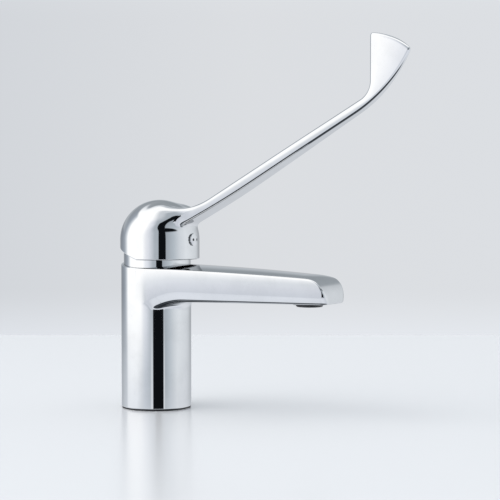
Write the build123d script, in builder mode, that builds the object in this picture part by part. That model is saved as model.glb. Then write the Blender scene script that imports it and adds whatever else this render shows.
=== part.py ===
"""Elbow lever basin tap, in millimetres.

X runs along the spout, Y across it and Z up. The origin is on the body's axis, on the deck
that the tap stands on.
"""

import os
from math import cos, radians, sin, sqrt, tan

from build123d import *

# Shared clearances
overrun = 1.0
fit_gap = 0.05
slide_gap = 0.02
loose_gap = 0.3
hexagon_sides = 6

# Body
body_height = 95.5
body_radius = 23.0
body_foot_wall = 5.0
foot_chamfer = 1.2
recess_depth = 27.0
thread_floor = 12.0
gasket_thickness = 0.8
gasket_outer_margin = 0.4
gasket_inner_margin = 0.6

# Spout, with heights as drops from the body's top
spout_reach = 134.0
spout_root_inset = 0.1
spout_tip_reach = 120.0
spout_tip_width = 31.0
spout_taper_power = 1.37
spout_plan_margin = 5.0
spout_corner_radius = 6.0
spout_station_count = 12
underside_root_drop = 24.5
underside_tip_drop = 22.3
lower_edge_radius = 6.0
root_blend_reach = 34.0
root_blend_drop = 12.0
nose_length = 19.0
nose_height = 18.7

# Crowned top of the body and spout
crown_back_reach = 30.0
crown_middle_reach = 60.0
crown_tip_reach = 140.0
crest_middle_drop = 1.5
crest_tip_drop = 5.3
crown_back_radius = 115.0
crown_middle_radius = 82.0
crown_tip_radius = 46.0
crown_half_width = 30.0

# Cartridge axis, inlets and waterways
axis_offset = 0.9
bore_depth = 35.5
bore_gap = 0.5
bore_thread_depth = 1.0
inlet_offset = 4.5
inlet_spacing = 13.0
inlet_thread_radius = 4.46
inlet_port_radius = 2.3
inlet_passage_radius = 3.2
throat_width = 18.0
throat_reach = 20.4
throat_bottom_drop = 33.5
throat_top_drop = 11.5
channel_start_reach = 19.0
channel_root_width = 26.0
channel_end_width = 20.0
channel_bottom_drop = 19.5
channel_top_drop = 9.0
outlet_chamber_setback = 10.0
outlet_chamber_length = 20.0
outlet_chamber_drop = 16.0

# Aerator
aerator_setback = 18.7
aerator_housing_radius = 10.6
aerator_housing_length = 5.8
aerator_thread_gap = 0.1
aerator_lip_thickness = 1.0
aerator_insert_radius = 8.4
aerator_flange_width = 0.45
aerator_insert_drop = 1.4
aerator_edge_radius = 0.7
aerator_hole_radius = 0.55
aerator_hole_pitch = 1.9
aerator_hole_rows = 5
aerator_seal_thickness = 1.5
aerator_seal_bore_radius = 7.6

# Deck fixing
stud_radius = 4.0
stud_position = -11.0
stud_end_depth = 62.0
stud_chamfer = 0.8
deck_thickness = 18.0
horseshoe_radius = 22.0
horseshoe_slot_width = 25.0
horseshoe_slot_start = -5.0
horseshoe_corner_radius = 5.0
clamp_washer_thickness = 2.5
clamp_plate_thickness = 2.0
fixing_nut_height = 10.0
fixing_nut_flats = 13.0

# Neck ring and cartridge nut
neck_ring_radius = 22.0
neck_ring_wall = 1.4
neck_ring_height = 9.8
neck_ring_seat_depth = 3.3
neck_ring_lip_width = 5.4
neck_ring_lip_thickness = 1.4
neck_ring_edge_radius = 0.7
neck_seal_drop = 4.6
collar_gap = 0.2
collar_drop = 0.5
nut_head_height = 4.2
nut_slot_width = 4.0
nut_slot_depth = 2.0
nut_slot_count = 6

# Cartridge
cartridge_radius = 17.5
cartridge_wall = 2.2
cartridge_foot_gap = 0.3
cartridge_base_height = 12.0
spigot_gap = 0.1
spigot_height = 2.0
seal_thickness = 1.6
seal_inner_radius = 3.4
seal_outer_radius = 5.4
outlet_port_radius = 3.6
outlet_port_offset = -7.0
outlet_window_width = 7.4
outlet_window_foot = 3.0
outlet_window_height = 7.0
disc_thickness = 4.0
disc_side_gap = 0.8
moving_disc_setback = 2.3
mixing_recess_radius = 6.6
mixing_recess_depth = 2.0
carrier_margin = 0.2
carrier_height = 5.0
carrier_floor = 0.5
carrier_top_gap = 0.2
rotor_flange_radius = 13.5
rotor_flange_thickness = 3.8
rotor_radius = 10.0
rotor_height = 15.8
rotor_slot_front = 7.8
rotor_slot_back = 7.8
housing_shoulder_lift = 1.3
housing_neck_radius = 15.0
housing_top_drop = 2.0
seal_groove_depth = 1.3
seal_groove_width = 2.0

# Lever stem and its pivot
pivot_lift = 10.3
pivot_pin_radius = 1.5
stem_width = 8.0
stem_side_gap = 0.2
stem_foot_drop = 5.5
stem_length = 32.0
stem_shank_radius = 2.2
stem_ball_radius = 3.0
stem_ball_drop = 11.0
stem_ball_gap = 0.15
stem_edge_chamfer = 0.6

# Handle cap
cap_offset = 3.0
cap_radius = 26.1
cap_skirt_height = 12.6
cap_rim_gap = 2.5
cap_wall = 2.0
rim_cut_start = 2.0
rim_cut_angle = 19.5
hub_radius = 7.5
hub_bottom_lift = 10.0
screw_boss_radius = 5.5
screw_lift = 13.0
socket_depth_gap = 0.5

# Lever arm: gaps from the cap's front, rises from the centre of its dome, and widths
arm_root_inset = 17.1
arm_root_top_drop = 6.3
arm_root_height = 13.4
arm_top_start_gap = 17.9
arm_top_start_rise = 27.6
arm_top_slope = 29.9
arm_heel_rise = 11.3
arm_heel_radius = 40.0
arm_knee_gap = 31.2
arm_knee_rise = 27.2
arm_bend_slope = 30.4
arm_bend_setback = 9.5
fin_face_gap = 129.1
fin_face_radius = 13.0
fin_height = 36.5
fin_width = 26.2
fin_crown_setback = 13.3
fin_crown_drop = 2.7
fin_corner_drop = 10.5
fin_corner_radius = 2.5
arm_edge_radius = 1.8
arm_root_width = 28.0
arm_neck_gap = 4.9
arm_neck_width = 20.0
arm_middle_share = 0.61
arm_middle_width = 14.2
arm_elbow_width = 9.2
arm_end_width = 6.4

# Set screw and index plug
screw_radius = 2.45
screw_length = 8.0
screw_socket_radius = 1.3
screw_socket_depth = 2.5
plug_hole_radius = 3.0
plug_shank_length = 5.0
plug_head_radius = 4.1
plug_head_rim = 0.9
plug_head_dome = 0.8
dot_radius = 0.85
dot_spacing = 4.0
dot_depth = 0.5

# Heights and radii that follow from the body's
spout_root_width = 2 * (body_radius - spout_root_inset)
recess_radius = body_radius - body_foot_wall
recess_top = gasket_thickness + recess_depth
gasket_outer_radius = body_radius - gasket_outer_margin
gasket_inner_radius = recess_radius + gasket_inner_margin
underside_root_height = body_height - underside_root_drop
underside_tip_height = body_height - underside_tip_drop
throat_bottom_height = body_height - throat_bottom_drop
throat_top_height = body_height - throat_top_drop
channel_bottom_height = body_height - channel_bottom_drop
channel_top_height = body_height - channel_top_drop
collar_height = body_height - collar_drop
collar_radius = neck_ring_radius - neck_ring_wall - collar_gap
neck_ring_seat_height = body_height - neck_ring_seat_depth
neck_ring_top_height = neck_ring_seat_height + neck_ring_height
neck_ring_inner_radius = neck_ring_radius - neck_ring_wall
neck_ring_lip_height = neck_ring_top_height - neck_ring_lip_thickness

# Waterway's end and aerator, from its seat downwards
outlet_chamber_reach = spout_reach - outlet_chamber_setback
channel_end_reach = outlet_chamber_reach - outlet_chamber_length
aerator_reach = spout_reach - aerator_setback
aerator_ceiling_height = body_height - outlet_chamber_drop
aerator_top_height = aerator_ceiling_height - aerator_seal_thickness
aerator_foot_height = aerator_top_height - aerator_housing_length
aerator_flange_radius = aerator_insert_radius + aerator_flange_width
aerator_flange_height = aerator_foot_height + aerator_lip_thickness
aerator_insert_height = aerator_foot_height - aerator_insert_drop

# Cartridge, from its seat upwards
seat_height = body_height - bore_depth
bore_radius = cartridge_radius + bore_gap
thread_bore_radius = bore_radius + bore_thread_depth
cartridge_base_radius = cartridge_radius - loose_gap
cartridge_base_top = seat_height + cartridge_base_height
cavity_radius = cartridge_radius - cartridge_wall
outlet_window_bottom = seat_height + outlet_window_foot
fixed_disc_bottom = cartridge_base_top + spigot_height
fixed_disc_radius = cavity_radius - loose_gap
moving_disc_bottom = fixed_disc_bottom + disc_thickness + slide_gap
moving_disc_reach = axis_offset - moving_disc_setback
moving_disc_radius = cavity_radius - moving_disc_setback - disc_side_gap
carrier_bottom = moving_disc_bottom + disc_thickness
carrier_top = carrier_bottom + carrier_height
rotor_bottom = carrier_top + carrier_top_gap
rotor_flange_top = rotor_bottom + rotor_flange_thickness
rotor_top = rotor_bottom + rotor_height
housing_shoulder_height = rotor_bottom + housing_shoulder_lift
housing_top_height = rotor_top - housing_top_drop
seal_groove_radius = cartridge_radius - seal_groove_depth
seal_groove_bottom = rotor_bottom - seal_groove_width
housing_seal_section_radius = (bore_radius - seal_groove_radius) / 2 - slide_gap
nut_bore_radius = housing_neck_radius + fit_gap
nut_top_height = collar_height + nut_head_height
nut_head_radius = bore_radius + bore_thread_depth / 2
neck_seal_section_radius = (neck_ring_inner_radius - nut_head_radius) / 2 - slide_gap
neck_seal_height = neck_ring_top_height - neck_seal_drop
pivot_height = rotor_bottom + pivot_lift
stem_foot_height = pivot_height - stem_foot_drop
stem_top_height = stem_foot_height + stem_length
stem_ball_height = pivot_height - stem_ball_drop
stem_face = axis_offset + stem_width / 2

# Handle
cap_front = cap_offset + cap_radius
cap_rim_height = body_height + cap_rim_gap
cap_centre_height = cap_rim_height + cap_skirt_height
hub_bottom_height = cap_rim_height + hub_bottom_lift
screw_height = cap_rim_height + screw_lift
screw_bore_radius = screw_radius + fit_gap

# Lever arm
arm_root_reach = cap_front - arm_root_inset
arm_root_top_rise = cap_radius - arm_root_top_drop
arm_root_bottom_rise = arm_root_top_rise - arm_root_height
arm_top_start_reach = cap_front + arm_top_start_gap
arm_heel_reach = cap_front
arm_knee_reach = cap_front + arm_knee_gap
arm_neck_reach = cap_front + arm_neck_gap
fin_face_reach = cap_front + fin_face_gap
arm_bend_reach = fin_face_reach - arm_bend_setback
arm_middle_reach = arm_neck_reach + arm_middle_share * (arm_bend_reach - arm_neck_reach)
arm_bend_rise = arm_knee_rise + (arm_bend_reach - arm_knee_reach) * tan(radians(arm_bend_slope))
elbow_rise = arm_top_start_rise + (fin_face_reach - arm_top_start_reach) * tan(
    radians(arm_top_slope)
)
fin_top_rise = elbow_rise + fin_height
fin_crown_reach = fin_face_reach + fin_crown_setback
fin_crown_rise = fin_top_rise - fin_crown_drop
fin_corner_reach = fin_face_reach + fin_width
fin_corner_rise = fin_top_rise - fin_corner_drop

os.makedirs("parts", exist_ok=True)

# Planes and lines that several pieces share
cartridge_line = Axis((axis_offset, 0, 0), (0, 0, 1))
cartridge_section = Plane((axis_offset, 0, 0), x_dir=(1, 0, 0), z_dir=(0, -1, 0))
cap_line = Axis((cap_offset, 0, 0), (0, 0, 1))
cap_section = Plane((cap_offset, 0, 0), x_dir=(1, 0, 0), z_dir=(0, -1, 0))
inlet_places = [
    (axis_offset + inlet_offset, side * inlet_spacing / 2) for side in (-1, 1)
]


def level(height, reach=0.0):
    """Give the horizontal plane at a height, centred at a reach along the spout."""
    return Plane((reach, 0, height))


def finish(piece, name):
    """Label a finished piece and write its file."""
    piece.part.label = name
    export_step(piece.part, f"parts/{name}.step")


# Crowned top: everything below it belongs to the body and spout
with BuildPart() as under_crown:
    for reach, crest, radius in (
        (-crown_back_reach, body_height, crown_back_radius),
        (crown_middle_reach, body_height - crest_middle_drop, crown_middle_radius),
        (crown_tip_reach, body_height - crest_tip_drop, crown_tip_radius),
    ):
        crown_drop = radius - sqrt(radius**2 - crown_half_width**2)
        with BuildSketch(Plane.YZ.offset(reach)):
            with BuildLine():
                ThreePointArc(
                    (-crown_half_width, crest - crown_drop),
                    (0, crest),
                    (crown_half_width, crest - crown_drop),
                )
                Polyline(
                    (crown_half_width, crest - crown_drop),
                    (crown_half_width, 0),
                    (-crown_half_width, 0),
                    (-crown_half_width, crest - crown_drop),
                )
            make_face()
    loft()


def spout_half_width(reach):
    """Half the spout's width, which tapers faster towards the tip."""
    taper = (reach / spout_tip_reach) ** spout_taper_power
    return (spout_root_width - (spout_root_width - spout_tip_width) * taper) / 2


def spout_underside(reach):
    """Height of the spout's underside: a slope, drawn down in a curve near the body."""
    slope = (underside_tip_height - underside_root_height) / spout_reach
    near_root = max(0.0, 1 - reach / root_blend_reach)
    return underside_root_height + slope * reach - root_blend_drop * near_root**2


# Spout as a run of upright sections, rounded at their lower corners
with BuildPart() as spout:
    for station in range(spout_station_count + 1):
        reach = station / spout_station_count * (spout_reach + overrun)
        half_width = spout_half_width(reach)
        underside = spout_underside(reach)
        with BuildSketch(Plane.YZ.offset(reach)) as section:
            Polygon(
                (-half_width, underside),
                (half_width, underside),
                (half_width, body_height + overrun),
                (-half_width, body_height + overrun),
                align=None,
            )
            fillet(section.vertices().group_by(Axis.Y)[0], lower_edge_radius)
    loft()

# Outline of the spout: rounded at its tip's corners from above, rolled down to it from the side
with BuildPart() as spout_outline:
    with BuildSketch() as plan:
        Polygon(
            (0, -spout_root_width / 2 - spout_plan_margin),
            (spout_reach, -spout_half_width(spout_reach) - loose_gap),
            (spout_reach, spout_half_width(spout_reach) + loose_gap),
            (0, spout_root_width / 2 + spout_plan_margin),
            align=None,
        )
        fillet(plan.vertices().group_by(Axis.X)[-1], spout_corner_radius)
    extrude(amount=body_height + 2 * overrun)
    with BuildSketch(Plane.XZ):
        with BuildLine():
            Polyline(
                (spout_reach - nose_length, underside_tip_height + nose_height),
                (0, body_height + 2 * overrun),
                (0, 0),
                (spout_reach, 0),
                (spout_reach, underside_tip_height),
            )
            EllipticalCenterArc(
                (spout_reach - nose_length, underside_tip_height),
                nose_length,
                nose_height,
                start_angle=0,
                arc_size=90,
            )
        make_face()
    extrude(amount=body_radius + spout_plan_margin, both=True, mode=Mode.INTERSECT)

# Body and spout in one casting, bored for the cartridge, the waterways and the fixings
with BuildPart() as mixer_body:
    add(spout.part)
    add(spout_outline.part, mode=Mode.INTERSECT)
    with BuildSketch(level(gasket_thickness)):
        Circle(body_radius)
    extrude(amount=body_height + overrun - gasket_thickness)
    add(under_crown.part, mode=Mode.INTERSECT)
    foot_edge = mixer_body.faces().sort_by(Axis.Z)[0].edges()
    chamfer(foot_edge, foot_chamfer)

    # Recess under the body, where the hoses and the stud go in
    with BuildSketch(level(gasket_thickness)):
        Circle(recess_radius)
    extrude(amount=recess_depth, mode=Mode.SUBTRACT)
    with BuildSketch(level(recess_top)):
        with Locations((stud_position, 0)):
            Circle(stud_radius + fit_gap)
        with Locations(*inlet_places):
            Circle(inlet_thread_radius)
    extrude(amount=thread_floor, mode=Mode.SUBTRACT)
    with BuildSketch(level(recess_top)):
        with Locations(*inlet_places):
            Circle(inlet_passage_radius)
    extrude(amount=seat_height - recess_top, mode=Mode.SUBTRACT)

    # Cartridge bore with its thread above, and a seat around it for the neck ring
    with BuildSketch(cartridge_section):
        Polygon(
            (0, seat_height),
            (bore_radius, seat_height),
            (bore_radius, housing_shoulder_height),
            (thread_bore_radius, housing_shoulder_height),
            (thread_bore_radius, collar_height),
            (collar_radius, collar_height),
            (collar_radius, neck_ring_seat_height),
            (neck_ring_radius + fit_gap, neck_ring_seat_height),
            (neck_ring_radius + fit_gap, body_height + overrun),
            (0, body_height + overrun),
            align=None,
        )
    revolve(axis=cartridge_line, mode=Mode.SUBTRACT)

    # Waterway: a throat in front of the cartridge, a channel and a chamber over the aerator
    with BuildSketch(level(throat_bottom_height)):
        with Locations((axis_offset + throat_reach / 2, 0)):
            Rectangle(throat_reach, throat_width)
    extrude(amount=throat_top_height - throat_bottom_height, mode=Mode.SUBTRACT)
    with BuildSketch(level(channel_bottom_height)):
        Polygon(
            (channel_start_reach, -channel_root_width / 2),
            (channel_end_reach, -channel_end_width / 2),
            (channel_end_reach, channel_end_width / 2),
            (channel_start_reach, channel_root_width / 2),
            align=None,
        )
    extrude(amount=channel_top_height - channel_bottom_height, mode=Mode.SUBTRACT)
    chamber_overall_length = outlet_chamber_length + channel_end_width / 2
    with BuildSketch(level(aerator_ceiling_height)):
        with Locations((outlet_chamber_reach - chamber_overall_length / 2, 0)):
            SlotOverall(chamber_overall_length, channel_end_width)
    extrude(amount=channel_top_height - aerator_ceiling_height, mode=Mode.SUBTRACT)
    with BuildSketch(level(0, aerator_reach)):
        Circle(aerator_housing_radius + aerator_thread_gap)
    extrude(amount=aerator_ceiling_height, mode=Mode.SUBTRACT)
finish(mixer_body, "mixer_body")

# Deck fixing: gasket on top, horseshoe washer and plate below, on a stud with a nut
with BuildPart() as base_gasket:
    with BuildSketch():
        Circle(gasket_outer_radius)
        Circle(gasket_inner_radius, mode=Mode.SUBTRACT)
    extrude(amount=gasket_thickness)
finish(base_gasket, "base_gasket")

with BuildPart() as fixing_stud:
    with BuildSketch(level(-stud_end_depth, stud_position)):
        Circle(stud_radius)
    extrude(amount=stud_end_depth + gasket_thickness + recess_depth + thread_floor)
    chamfer(fixing_stud.edges().filter_by(GeomType.CIRCLE), stud_chamfer)
finish(fixing_stud, "fixing_stud")

with BuildSketch() as horseshoe:
    Circle(horseshoe_radius)
    with Locations((horseshoe_slot_start + horseshoe_radius, 0)):
        RectangleRounded(
            2 * horseshoe_radius,
            horseshoe_slot_width,
            horseshoe_corner_radius,
            mode=Mode.SUBTRACT,
        )
    with Locations((stud_position, 0)):
        Circle(stud_radius + loose_gap, mode=Mode.SUBTRACT)

washer_bottom = -deck_thickness - clamp_washer_thickness
plate_bottom = washer_bottom - clamp_plate_thickness

with BuildPart() as clamp_washer:
    with BuildSketch(level(washer_bottom)):
        add(horseshoe.sketch)
    extrude(amount=clamp_washer_thickness)
finish(clamp_washer, "clamp_washer")

with BuildPart() as clamp_plate:
    with BuildSketch(level(plate_bottom)):
        add(horseshoe.sketch)
    extrude(amount=clamp_plate_thickness)
finish(clamp_plate, "clamp_plate")

with BuildPart() as fixing_nut:
    with BuildSketch(level(plate_bottom, stud_position)):
        RegularPolygon(fixing_nut_flats / 2, hexagon_sides, major_radius=False)
        Circle(stud_radius + fit_gap, mode=Mode.SUBTRACT)
    extrude(amount=-fixing_nut_height)
finish(fixing_nut, "fixing_nut")

# Cartridge, from its foot upwards
with BuildPart() as cartridge_base:
    with BuildSketch(cartridge_section):
        Polygon(
            (0, seat_height + cartridge_foot_gap),
            (cartridge_base_radius, seat_height + cartridge_foot_gap),
            (cartridge_base_radius, cartridge_base_top),
            (cavity_radius - spigot_gap, cartridge_base_top),
            (cavity_radius - spigot_gap, fixed_disc_bottom),
            (0, fixed_disc_bottom),
            align=None,
        )
    revolve(axis=cartridge_line)
    with BuildSketch(level(seat_height)):
        with Locations(*inlet_places):
            Circle(inlet_port_radius)
    extrude(amount=fixed_disc_bottom - seat_height, mode=Mode.SUBTRACT)
    with BuildSketch(level(seat_height)):
        with Locations(*inlet_places):
            Circle(seal_outer_radius + fit_gap)
    extrude(amount=seal_thickness, mode=Mode.SUBTRACT)
    with BuildSketch(level(outlet_window_bottom, axis_offset)):
        with Locations(((cartridge_radius + outlet_port_offset) / 2, 0)):
            Rectangle(cartridge_radius - outlet_port_offset, outlet_window_width)
    extrude(amount=outlet_window_height, mode=Mode.SUBTRACT)
    with BuildSketch(level(outlet_window_bottom, axis_offset + outlet_port_offset)):
        Circle(outlet_port_radius)
    port_height = fixed_disc_bottom - outlet_window_bottom
    extrude(amount=port_height, mode=Mode.SUBTRACT)
finish(cartridge_base, "cartridge_base")

with BuildPart() as cartridge_seals:
    with BuildSketch(level(seat_height)):
        with Locations(*inlet_places):
            Circle(seal_outer_radius)
            Circle(seal_inner_radius, mode=Mode.SUBTRACT)
    extrude(amount=seal_thickness)
finish(cartridge_seals, "cartridge_seals")

with BuildPart() as fixed_ceramic_disc:
    with BuildSketch(level(fixed_disc_bottom)):
        with Locations((axis_offset, 0)):
            Circle(fixed_disc_radius)
        with Locations(*inlet_places):
            Circle(inlet_port_radius, mode=Mode.SUBTRACT)
        with Locations((axis_offset + outlet_port_offset, 0)):
            Circle(outlet_port_radius, mode=Mode.SUBTRACT)
    extrude(amount=disc_thickness)
finish(fixed_ceramic_disc, "fixed_ceramic_disc")

with BuildPart() as moving_ceramic_disc:
    with BuildSketch(level(moving_disc_bottom, moving_disc_reach)):
        Circle(moving_disc_radius)
    extrude(amount=disc_thickness)
    with BuildSketch(level(moving_disc_bottom, moving_disc_reach)):
        Circle(mixing_recess_radius)
    extrude(amount=mixing_recess_depth, mode=Mode.SUBTRACT)
finish(moving_ceramic_disc, "moving_ceramic_disc")

with BuildPart() as disc_carrier:
    with BuildSketch(level(carrier_bottom, moving_disc_reach)):
        Circle(moving_disc_radius - carrier_margin)
    extrude(amount=carrier_height)
    with BuildSketch(level(carrier_bottom + carrier_floor, axis_offset)):
        Circle(stem_ball_radius + stem_ball_gap)
    extrude(amount=carrier_height, mode=Mode.SUBTRACT)
finish(disc_carrier, "disc_carrier")

with BuildPart() as cartridge_housing:
    with BuildSketch(cartridge_section):
        Polygon(
            (cavity_radius, cartridge_base_top),
            (cartridge_radius, cartridge_base_top),
            (cartridge_radius, seal_groove_bottom),
            (seal_groove_radius, seal_groove_bottom),
            (seal_groove_radius, rotor_bottom),
            (cartridge_radius, rotor_bottom),
            (cartridge_radius, housing_shoulder_height),
            (housing_neck_radius, housing_shoulder_height),
            (housing_neck_radius, housing_top_height),
            (rotor_radius + fit_gap, housing_top_height),
            (rotor_radius + fit_gap, rotor_flange_top + loose_gap),
            (rotor_flange_radius + loose_gap, rotor_flange_top + loose_gap),
            (rotor_flange_radius + loose_gap, rotor_bottom),
            (cavity_radius, rotor_bottom),
            align=None,
        )
    revolve(axis=cartridge_line)
finish(cartridge_housing, "cartridge_housing")

with BuildPart() as housing_seal:
    with BuildSketch(cartridge_section):
        seal_middle = (seal_groove_bottom + rotor_bottom) / 2
        with Locations(((bore_radius + seal_groove_radius) / 2, seal_middle)):
            Circle(housing_seal_section_radius)
    revolve(axis=cartridge_line)
finish(housing_seal, "housing_seal")

with BuildPart() as cartridge_rotor:
    with BuildSketch(cartridge_section):
        Polygon(
            (0, rotor_bottom),
            (rotor_flange_radius, rotor_bottom),
            (rotor_flange_radius, rotor_flange_top),
            (rotor_radius, rotor_flange_top),
            (rotor_radius, rotor_top),
            (0, rotor_top),
            align=None,
        )
    revolve(axis=cartridge_line)
    with BuildSketch(level(rotor_bottom, axis_offset)):
        with Locations(((rotor_slot_front - rotor_slot_back) / 2, 0)):
            Rectangle(rotor_slot_front + rotor_slot_back, stem_width + 2 * stem_side_gap)
    extrude(amount=rotor_height, mode=Mode.SUBTRACT)
    with BuildSketch(Plane.XZ):
        with Locations((axis_offset, pivot_height)):
            Circle(pivot_pin_radius)
    extrude(amount=rotor_radius, both=True, mode=Mode.SUBTRACT)
finish(cartridge_rotor, "cartridge_rotor")

with BuildPart() as pivot_pin:
    with BuildSketch(Plane.XZ):
        with Locations((axis_offset, pivot_height)):
            Circle(pivot_pin_radius - slide_gap)
    extrude(amount=rotor_radius - loose_gap, both=True)
finish(pivot_pin, "pivot_pin")

with BuildPart() as lever_stem:
    with BuildSketch(level(stem_foot_height, axis_offset)):
        Rectangle(stem_width, stem_width)
    extrude(amount=stem_length)
    chamfer(lever_stem.faces().sort_by(Axis.Z)[-1].edges(), stem_edge_chamfer)
    with BuildSketch(level(stem_ball_height, axis_offset)):
        Circle(stem_shank_radius)
    extrude(amount=stem_foot_height - stem_ball_height)
    with Locations((axis_offset, 0, stem_ball_height)):
        Sphere(stem_ball_radius)
    with BuildSketch(Plane.XZ):
        with Locations((axis_offset, pivot_height)):
            Circle(pivot_pin_radius + fit_gap)
    extrude(amount=stem_width, both=True, mode=Mode.SUBTRACT)
finish(lever_stem, "lever_stem")

# Clamping nut and the trim ring around it
with BuildPart() as cartridge_nut:
    with BuildSketch(cartridge_section):
        Polygon(
            (nut_bore_radius, housing_shoulder_height),
            (thread_bore_radius - fit_gap, housing_shoulder_height),
            (thread_bore_radius - fit_gap, collar_height),
            (nut_head_radius, collar_height),
            (nut_head_radius, nut_top_height),
            (nut_bore_radius, nut_top_height),
            align=None,
        )
    revolve(axis=cartridge_line)
    with BuildSketch(level(nut_top_height, axis_offset)):
        with PolarLocations(nut_head_radius, nut_slot_count):
            Rectangle(nut_head_radius, nut_slot_width)
        Circle(nut_bore_radius + nut_slot_depth / 2, mode=Mode.SUBTRACT)
    extrude(amount=-nut_slot_depth, mode=Mode.SUBTRACT)
finish(cartridge_nut, "cartridge_nut")

with BuildPart() as neck_ring:
    with BuildSketch(cartridge_section) as ring_section:
        Polygon(
            (neck_ring_inner_radius, neck_ring_seat_height),
            (neck_ring_radius, neck_ring_seat_height),
            (neck_ring_radius, neck_ring_top_height),
            (neck_ring_radius - neck_ring_lip_width, neck_ring_top_height),
            (neck_ring_radius - neck_ring_lip_width, neck_ring_lip_height),
            (neck_ring_inner_radius, neck_ring_lip_height),
            align=None,
        )
        ring_edge = ring_section.vertices().group_by(Axis.Y)[-1].sort_by(Axis.X)[-1]
        fillet(ring_edge, neck_ring_edge_radius)
    revolve(axis=cartridge_line)
finish(neck_ring, "neck_ring")

with BuildPart() as neck_ring_seal:
    with BuildSketch(cartridge_section):
        with Locations(((neck_ring_inner_radius + nut_head_radius) / 2, neck_seal_height)):
            Circle(neck_seal_section_radius)
    revolve(axis=cartridge_line)
finish(neck_ring_seal, "neck_ring_seal")

# Aerator in the spout's tip
with BuildPart() as aerator_housing:
    with BuildSketch(level(aerator_foot_height, aerator_reach)):
        Circle(aerator_housing_radius)
        Circle(aerator_insert_radius + fit_gap, mode=Mode.SUBTRACT)
    extrude(amount=aerator_housing_length)
    with BuildSketch(level(aerator_flange_height, aerator_reach)):
        Circle(aerator_flange_radius + fit_gap)
    extrude(amount=aerator_housing_length, mode=Mode.SUBTRACT)
finish(aerator_housing, "aerator_housing")

with BuildPart() as aerator_insert:
    with BuildSketch(level(aerator_insert_height, aerator_reach)):
        Circle(aerator_insert_radius)
    extrude(amount=aerator_top_height - aerator_insert_height)
    fillet(aerator_insert.faces().sort_by(Axis.Z)[0].edges(), aerator_edge_radius)
    with BuildSketch(level(aerator_flange_height, aerator_reach)):
        Circle(aerator_flange_radius)
    extrude(amount=aerator_top_height - aerator_flange_height)
    with BuildSketch(level(aerator_insert_height, aerator_reach)):
        with HexLocations(aerator_hole_pitch / 2, aerator_hole_rows, aerator_hole_rows):
            Circle(aerator_hole_radius)
    extrude(amount=aerator_top_height - aerator_insert_height, mode=Mode.SUBTRACT)
finish(aerator_insert, "aerator_insert")

with BuildPart() as aerator_seal:
    with BuildSketch(level(aerator_top_height, aerator_reach)):
        Circle(aerator_housing_radius)
        Circle(aerator_seal_bore_radius, mode=Mode.SUBTRACT)
    extrude(amount=aerator_seal_thickness)
finish(aerator_seal, "aerator_seal")

# Arm from the side: a straight rise, an elbow and an upright fin with an arched end
arm_section = Plane((0, 0, cap_centre_height), x_dir=(1, 0, 0), z_dir=(0, -1, 0))
arm_top_way = (cos(radians(arm_top_slope)), sin(radians(arm_top_slope)))
arm_bend_way = (cos(radians(arm_bend_slope)), sin(radians(arm_bend_slope)))

with BuildPart() as arm:
    with BuildSketch(arm_section) as arm_side:
        with BuildLine():
            TangentArc(
                (arm_top_start_reach, arm_top_start_rise),
                (arm_root_reach, arm_root_top_rise),
                tangent=(-arm_top_way[0], -arm_top_way[1]),
            )
            FilletPolyline(
                (arm_top_start_reach, arm_top_start_rise),
                (fin_face_reach, elbow_rise),
                (fin_face_reach, fin_top_rise),
                radius=fin_face_radius,
            )
            ThreePointArc(
                (fin_face_reach, fin_top_rise),
                (fin_crown_reach, fin_crown_rise),
                (fin_corner_reach, fin_corner_rise),
            )
            TangentArc(
                (arm_bend_reach, arm_bend_rise),
                (fin_corner_reach, fin_corner_rise),
                tangent=arm_bend_way,
            )
            FilletPolyline(
                (arm_bend_reach, arm_bend_rise),
                (arm_knee_reach, arm_knee_rise),
                (arm_heel_reach, arm_heel_rise),
                (arm_root_reach, arm_root_bottom_rise),
                radius=arm_heel_radius,
            )
            Line((arm_root_reach, arm_root_bottom_rise), (arm_root_reach, arm_root_top_rise))
        make_face()
        fillet(arm_side.vertices().sort_by(Axis.X)[-1], fin_corner_radius)
        fillet(arm_side.vertices().sort_by(Axis.Y)[-1], fin_corner_radius)
    extrude(amount=arm_root_width, both=True)
    with BuildSketch(level(cap_rim_height)):
        with BuildLine():
            for side in (-1, 1):
                neck = (arm_neck_reach, side * arm_neck_width / 2)
                middle = (arm_middle_reach, side * arm_middle_width / 2)
                elbow = (arm_bend_reach, side * arm_elbow_width / 2)
                end = (fin_corner_reach + overrun, side * arm_end_width / 2)
                TangentArc(
                    neck,
                    (arm_root_reach, side * arm_root_width / 2),
                    tangent=(neck[0] - middle[0], neck[1] - middle[1]),
                )
                Spline(neck, middle, elbow, end)
            Line((arm_root_reach, -arm_root_width / 2), (arm_root_reach, arm_root_width / 2))
            Line(
                (fin_corner_reach + overrun, -arm_end_width / 2),
                (fin_corner_reach + overrun, arm_end_width / 2),
            )
        make_face()
    extrude(amount=cap_skirt_height + fin_top_rise + overrun, mode=Mode.INTERSECT)
    outer_edges = arm.edges().filter_by(
        lambda edge: edge.center().X > cap_front
        and abs(edge.center().Y) > arm_end_width / 4
        and abs(edge.tangent_at(0.5).Y) < sin(radians(45))
    )
    fillet(outer_edges, arm_edge_radius)

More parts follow.
